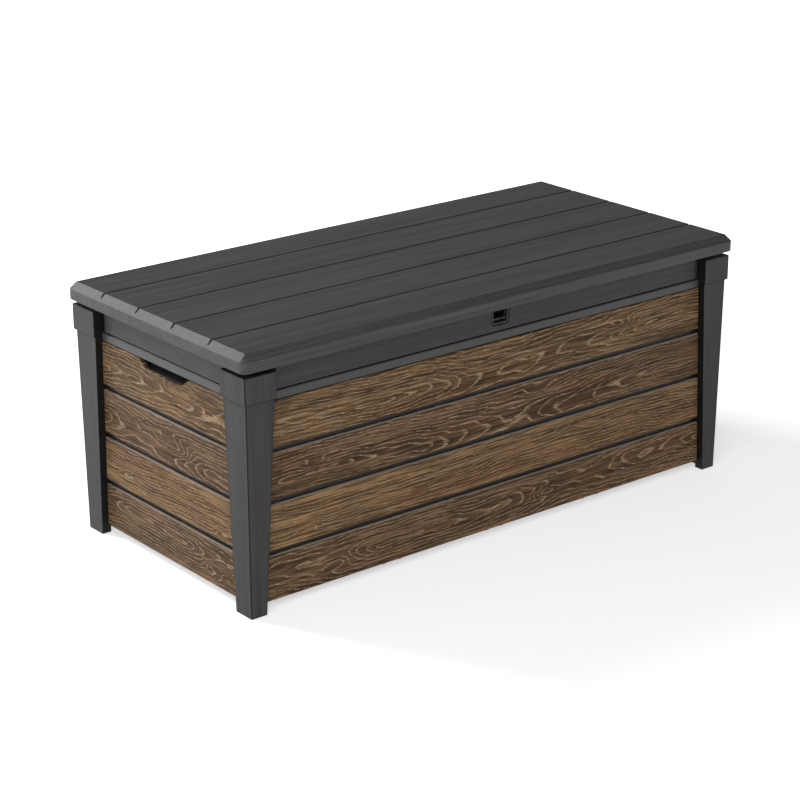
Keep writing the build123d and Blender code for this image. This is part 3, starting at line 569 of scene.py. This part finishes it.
def ring_field(along, up, height, row, wall_number, settings):
    """How many growth rings lie between a point on a board and the pith of its tree.

    The face cuts the tree lengthwise, so the count is the distance to the pith,
    the root of (up - heart)^2 + depth^2, over the width of a ring. The depth of
    the pith behind the face swings slowly along the board, which draws nested
    arches. Each wave is a height times the sine of radians per metre. Each knot adds
    a bell-shaped bump that the rings flow around.
    """
    knots, knot_stretch, knot_rings = 2, 3.6, 2.2
    board_seed = 1000 + 17 * row + 101 * wall_number
    random = np.random.default_rng(board_seed)
    heart = HEARTS[row] * height
    phases = random.uniform(0.0, 2 * np.pi, 6)
    wander = 0.10 * np.sin(along * 4.6 + phases[0]) + 0.03 * np.sin(along * 15.3 + phases[1])
    swing = 1.1 + np.sin(along * 6.2 + phases[2]) + 0.2 * np.sin(along * 17.0 + phases[3])
    across = up - heart - wander * height
    rings = np.hypot(across, settings.pith_depth * swing) / settings.ring_width
    rings += 0.25 * np.sin(along * 31.0 + up * 45.0 + phases[4])
    rings += 0.14 * np.sin(along * 73.0 - up * 110.0 + phases[5])
    for _ in range(knots):
        knot_along = random.uniform(along.min(), along.max())
        knot_up = random.uniform(0.2, 0.8) * height
        size = random.uniform(0.006, 0.010)
        away = ((along - knot_along) / (knot_stretch * size)) ** 2 + ((up - knot_up) / size) ** 2
        rings += knot_rings * np.exp(-0.5 * away)
    return rings


def make_board(node, angle, row, wall_number, settings):
    """A board as a closed skin.

    A section of eased back, lower edge, face, upper edge and top is carried along
    the board. The eased edges follow a superellipse, and the face is raised by a
    small wave of the ring count.
    """
    ease = settings.edge_ease
    outline = BoardOutline(node, angle, ease)
    places, half = outline.columns(settings.column_width)
    top = outline.top(places)
    level = top > outline.high - 1e-6
    ease_top = np.where(level, ease, 0.0)

    # Parameters of the section: angle round each eased edge and height up the face.
    ease_rows, ease_exponent = 5, 1.3
    bend = np.linspace(0.0, np.pi / 2, ease_rows)
    power = 2.0 / ease_exponent
    rise = (1.0 - np.cos(bend) ** power)[:, None]
    recess = (1.0 - np.sin(bend) ** power)[:, None]
    up = np.linspace(0.0, 1.0, settings.face_rows)[1:-1, None]

    count = len(places)
    low_z = np.tile(outline.low + ease * rise, (1, count))
    low_in = np.tile(ease * recess, (1, count))
    face_z = outline.low + ease + up * (top - ease_top - outline.low - ease)
    top_z = top - ease_top * rise[::-1]
    top_in = ease_top * recess[::-1]
    z = np.vstack([low_z, face_z, top_z])
    inset = np.vstack([low_in, np.zeros_like(face_z), top_in])

    along = places * outline.half(z) / half
    height = outline.high - outline.low
    rings = ring_field(along, z - outline.low, height, row, wall_number, settings)
    fade = np.minimum(1.0, np.minimum(z - outline.low, top - z) / (3 * ease))
    fade *= inset < 1e-9
    wave = 0.5 - 0.5 * np.cos(2 * np.pi * rings)
    depth = inset + settings.relief * wave * fade
    y = outline.back(z) - outline.thickness + depth

    # The upper eased edge is painted pale, a painted highlight with rubbed-pale wear, except under the
    # rim strip, whose shade covers it.
    lit_and_rubbed = level & (row < BOARD_ROWS[-1])
    lip = np.clip((z - top + ease) / (0.5 * ease), 0.0, 1.0) * lit_and_rubbed

    # Two more rows close the section along the back.
    back_z = np.vstack([top, np.full(count, outline.low)])
    back_along = places * outline.half(back_z) / half
    z = np.vstack([z, back_z])
    along = np.vstack([along, back_along])
    y = np.vstack([y, outline.back(back_z)])
    rings = np.vstack([rings, rings[[-1, 0]]])
    lip = np.vstack([lip, np.zeros((2, count))])

    points = np.stack([along, y, z], axis=-1)
    grain = points + np.array([7.3 * wall_number, 1.9 * row, 0.61 * row])
    piece = closed_skin(f"{node}_grain", turn_flat(points, angle))
    write_attribute(piece, "rings", "FLOAT", rings)
    write_attribute(piece, "lip", "FLOAT", lip)
    write_attribute(piece, "grain", "FLOAT_VECTOR", grain)
    return piece


def closed_skin(name, points):
    """A mesh from a grid of sections: rows go round the section and columns along the piece."""
    rows, columns, _ = points.shape
    row, column = np.meshgrid(np.arange(rows), np.arange(columns - 1), indexing="ij")
    first = row * columns + column
    second = ((row + 1) % rows) * columns + column
    quads = np.stack([first, first + 1, second + 1, second], axis=-1).reshape(-1, 4)
    start_cap = (np.arange(rows) * columns).tolist()
    end_cap = (np.arange(rows)[::-1] * columns + columns - 1).tolist()
    mesh = bpy.data.meshes.new(name)
    mesh.from_pydata(points.reshape(-1, 3).tolist(), [], quads.tolist() + [start_cap, end_cap])
    mesh.validate()
    mesh.update()
    piece = bpy.data.objects.new(name, mesh)
    bpy.context.scene.collection.objects.link(piece)
    return piece


def write_attribute(piece, name, kind, values):
    """Gives each corner point of a piece its number or vector."""
    attribute = piece.data.attributes.new(name, kind, "POINT")
    field = "vector" if kind == "FLOAT_VECTOR" else "value"
    attribute.data.foreach_set(field, values.astype(np.float32).ravel())


# ------------------------------------------------------------------ operators
class DECKBOX_OT_boards(bpy.types.Operator):
    """Build the wood-grained boards of all four walls"""

    bl_idname = "deckbox.boards"
    bl_label = "Boards"

    def execute(self, context):
        settings = context.scene.deckbox_boards
        for row in BOARD_ROWS:
            colour = tuple(getattr(settings, f"row_{row}"))
            pore, lip = tuple(settings.pore), tuple(settings.lip)
            wood = wood_grain(f"wood row {row}", colour, pore, lip, RED_STREAKS[row])
            for number, (wall, angle) in enumerate(WALL_ANGLES.items()):
                node = f"{wall}_board_{row}"
                piece = make_board(node, angle, row, number, settings)
                piece.data.materials.append(wood)
                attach(piece, "box")
                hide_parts(node)
        return {"FINISHED"}


class DECKBOX_OT_lid(bpy.types.Operator):
    """Finish the planked lid, its frame and its skirts"""

    bl_idname = "deckbox.lid"
    bl_label = "Lid"

    def execute(self, context):
        colours = context.scene.deckbox_resin
        lid = streaked_resin(
            "lid resin",
            tuple(colours.lid),
            streaks=(5.0, 210.0, 210.0),
            contrast=0.30,
            roughness=0.46,
            sheen=0.14,
        )
        skirt = streaked_resin(
            "skirt resin",
            tuple(colours.skirt),
            streaks=(7.0, 60.0, 240.0),
            contrast=0.34,
            roughness=0.52,
            sheen=0.22,
            # Painted shadow of the lid's edge along the top of the skirts.
            shadow=painted_lid_shadow,
        )
        give(lid, "lid_shell")
        give(skirt, "lid_frame")
        return {"FINISHED"}


class DECKBOX_OT_posts(bpy.types.Operator):
    """Finish the four corner posts and the lock ring"""

    bl_idname = "deckbox.posts"
    bl_label = "Corner posts"

    def execute(self, context):
        colour = tuple(context.scene.deckbox_resin.posts)
        faces = LeaningFaces(context.scene.deckbox_boards.edge_ease)
        resin = streaked_resin(
            "post resin",
            colour,
            streaks=(230.0, 230.0, 5.0),
            contrast=0.30,
            roughness=0.50,
            sheen=0.18,
            # Painted shade, a painted shadow and a painted dark reflection on the posts.
            shadow=partial(faces.post_shadow, width=0.0030),
        )
        ends, sides = ("front", "rear"), ("left", "right")
        give(resin, *(f"{end}_{side}_post" for end in ends for side in sides))
        give(moulded_resin("lock ring resin", shade(colour, 0.9)), "lock_bezel")
        return {"FINISHED"}


class DECKBOX_OT_panels(bpy.types.Operator):
    """Finish the wall panels and the floor"""

    bl_idname = "deckbox.panels"
    bl_label = "Wall panels and floor"

    def execute(self, context):
        colour = tuple(context.scene.deckbox_resin.panels)
        faces = LeaningFaces(context.scene.deckbox_boards.edge_ease)
        # Painted shade in the grooves between the boards.
        shaded_grooves = partial(faces.behind_boards, depth=0.0003)
        resin = moulded_resin("panel resin", colour, roughness=0.42, shadow=shaded_grooves)
        give(resin, *(f"{wall}_panel" for wall in WALL_ANGLES))
        # The floor panel is the panel grey made half again as light: painted light that lifts the
        # shade inside the box.
        painted_light_floor_resin = moulded_resin("floor resin", shade(colour, 1.5), roughness=0.6)
        give(painted_light_floor_resin, "floor_panel")
        return {"FINISHED"}


class DECKBOX_OT_metalwork(bpy.types.Operator):
    """Finish the hinges, struts, bars, staple and screws"""

    bl_idname = "deckbox.metalwork"
    bl_label = "Metalwork"

    def execute(self, context):
        zinc = metal("zinc plate", (0.56, 0.57, 0.58), 0.34, (500.0, 500.0, 60.0))
        black = metal("black powder coat", (0.030, 0.030, 0.032), 0.45, (700.0, 700.0, 700.0), 0.0)
        tube = metal("galvanised tube", (0.46, 0.48, 0.50), 0.42, (9.0, 420.0, 420.0))
        gloss = metal("black strut paint", (0.015, 0.015, 0.017), 0.22, (300.0, 300.0, 300.0), 0.0)
        chrome = metal("chromed rod", (0.72, 0.73, 0.75), 0.16, (300.0, 300.0, 300.0))
        hinges = ("left", "middle", "right")
        sides = ("left", "right")
        give(zinc, *(name for name in nodes if name.endswith("_screws")))
        give(zinc, "lock_staple", *(f"{hinge}_hinge_pin" for hinge in hinges))
        give(black, *(f"{hinge}_hinge_{leaf}_leaf" for hinge in hinges for leaf in ("body", "lid")))
        give(black, *(f"{side}_strut_{end}_bracket" for side in sides for end in ("foot", "head")))
        give(tube, "front_bar", "rear_bar")
        give(gloss, *(f"{side}_strut_cylinder" for side in sides))
        give(chrome, *(f"{side}_strut_rod" for side in sides))
        return {"FINISHED"}


class DECKBOX_OT_stage(bpy.types.Operator):
    """Set up the camera, the lights and the pale floor"""

    bl_idname = "deckbox.stage"
    bl_label = "Stage"

    def execute(self, context):
        settings = context.scene.deckbox_stage
        place_camera(context.scene, settings)
        for name, (spot, size, colour) in LIGHTS.items():
            add_soft_light(f"{name} light", spot, size, getattr(settings, f"{name}_power"), colour)
        add_floor(settings.floor_size, settings.floor_glow)
        fill_sky(context.scene, settings.sky_light)
        context.scene.view_settings.view_transform = "Standard"
        return {"FINISHED"}


def place_camera(scene, settings):
    """A camera that looks back along its own axis at the middle of the box's height."""
    turn, lift = math.radians(settings.azimuth), math.radians(settings.elevation)
    level = Vector((math.sin(turn), -math.cos(turn), 0.0)) * math.cos(lift)
    back = level + Vector((0.0, 0.0, math.sin(lift)))
    right = Vector((0.0, 0.0, 1.0)).cross(back).normalized()
    up = back.cross(right)
    roll = Matrix.Rotation(math.radians(settings.roll), 3, "Z")
    rolled = Matrix((right, up, back)).transposed() @ roll
    right, up = rolled.col[0], rolled.col[1]
    data = bpy.data.cameras.new("camera")
    data.sensor_width = 36.0
    data.lens = settings.lens
    camera = bpy.data.objects.new("camera", data)
    spot = MIDDLE + back * settings.distance + right * settings.sideways + up * settings.upwards
    camera.matrix_world = Matrix.Translation(spot) @ rolled.to_4x4()
    scene.collection.objects.link(camera)
    scene.camera = camera


def add_soft_light(name, spot, size, power, colour):
    """A square area light that faces the middle of the box."""
    data = bpy.data.lights.new(name, "AREA")
    data.size = size
    data.energy = power
    data.color = colour
    light = bpy.data.objects.new(name, data)
    aim = (MIDDLE - Vector(spot)).to_track_quat("-Z", "Y")
    light.matrix_world = Matrix.Translation(spot) @ aim.to_matrix().to_4x4()
    bpy.context.scene.collection.objects.link(light)


def add_floor(size, glow):
    """A square floor as a flat grid, just under the feet.

    It glows softly near the box and white further out, by its distance squared.
    """
    cells, drop = 8, 0.0005
    near_squared, far_squared = 1.0, 6.0
    side = cells + 1
    steps = np.linspace(-size / 2, size / 2, side)
    x, y = np.meshgrid(steps, steps, indexing="ij")
    points = np.stack([x, y, np.full_like(x, -drop)], axis=-1).reshape(-1, 3)
    i, j = np.meshgrid(np.arange(cells), np.arange(cells), indexing="ij")
    first = (i * side + j).ravel()
    quads = np.stack([first, first + side, first + side + 1, first + 1], axis=-1)
    mesh = bpy.data.meshes.new("studio_floor")
    mesh.from_pydata(points.tolist(), [], quads.tolist())
    floor = bpy.data.objects.new("studio_floor", mesh)
    bpy.context.scene.collection.objects.link(floor)
    finish = Finish("pale floor", {"Specular IOR Level": 0.1, "Emission Strength": 1.0})
    x, y, _ = finish.axes()
    far = (x * x + y * y).between(near_squared, far_squared)
    light = finish.blend(far, (glow, glow, glow), WHITE)
    finish.fill(finish.shader.inputs["Emission Color"], light)
    cloud = finish.noise(finish.place((0.8, 0.8, 0.8)), detail=2.0, roughness=0.5)
    tone = finish.blend(cloud, (0.90, 0.90, 0.90), (0.93, 0.93, 0.93))
    mesh.materials.append(finish.wear(tone, cloud * 0.1 + 0.8, cloud, 0.0001))


def fill_sky(scene, strength):
    """Even white all round: full white behind the box and softer as a source of light."""
    world = bpy.data.worlds.new("studio")
    world.use_nodes = True
    sky = NodeTree(world.node_tree)
    seen = sky.add("ShaderNodeLightPath").outputs["Is Camera Ray"]
    pale_blue = (0.97, 0.985, 1.0)
    light = sky.add("ShaderNodeBackground", {}, {"Color": pale_blue, "Strength": strength})
    backdrop = sky.add("ShaderNodeBackground", {}, {"Color": WHITE})
    values = {0: seen, 1: light.outputs[0], 2: backdrop.outputs[0]}
    mix = sky.add("ShaderNodeMixShader", {}, values)
    sky.add("ShaderNodeOutputWorld", {}, {"Surface": mix.outputs[0]})
    scene.world = world


class DECKBOX_PT_sidebar(bpy.types.Panel):
    """Lists the steps that build the looks, with their settings."""

    bl_idname = "DECKBOX_PT_sidebar"
    bl_label = "Deck Box"
    bl_space_type = "VIEW_3D"
    bl_region_type = "UI"
    bl_category = "Deck Box"

    def draw(self, context):
        for operator in STEPS:
            self.layout.operator(operator.bl_idname)
        for group in (
            context.scene.deckbox_boards,
            context.scene.deckbox_resin,
            context.scene.deckbox_stage,
        ):
            box = self.layout.box()
            for key in group.__annotations__:
                box.prop(group, key)


STEPS = (
    DECKBOX_OT_boards,
    DECKBOX_OT_lid,
    DECKBOX_OT_posts,
    DECKBOX_OT_panels,
    DECKBOX_OT_metalwork,
    DECKBOX_OT_stage,
)
SETTINGS = {
    "deckbox_boards": BoardSettings,
    "deckbox_resin": ResinSettings,
    "deckbox_stage": StageSettings,
}


def register():
    for group in SETTINGS.values():
        bpy.utils.register_class(group)
    for operator in STEPS:
        bpy.utils.register_class(operator)
    bpy.utils.register_class(DECKBOX_PT_sidebar)
    for key, group in SETTINGS.items():
        setattr(bpy.types.Scene, key, PointerProperty(type=group))


def unregister():
    for key in SETTINGS:
        delattr(bpy.types.Scene, key)
    bpy.utils.unregister_class(DECKBOX_PT_sidebar)
    for operator in reversed(STEPS):
        bpy.utils.unregister_class(operator)
    for group in reversed(list(SETTINGS.values())):
        bpy.utils.unregister_class(group)


def main():
    register()
    bpy.ops.deckbox.boards()
    bpy.ops.deckbox.lid()
    bpy.ops.deckbox.posts()
    bpy.ops.deckbox.panels()
    bpy.ops.deckbox.metalwork()
    bpy.ops.deckbox.stage()


if __name__ == "__main__":
    main()
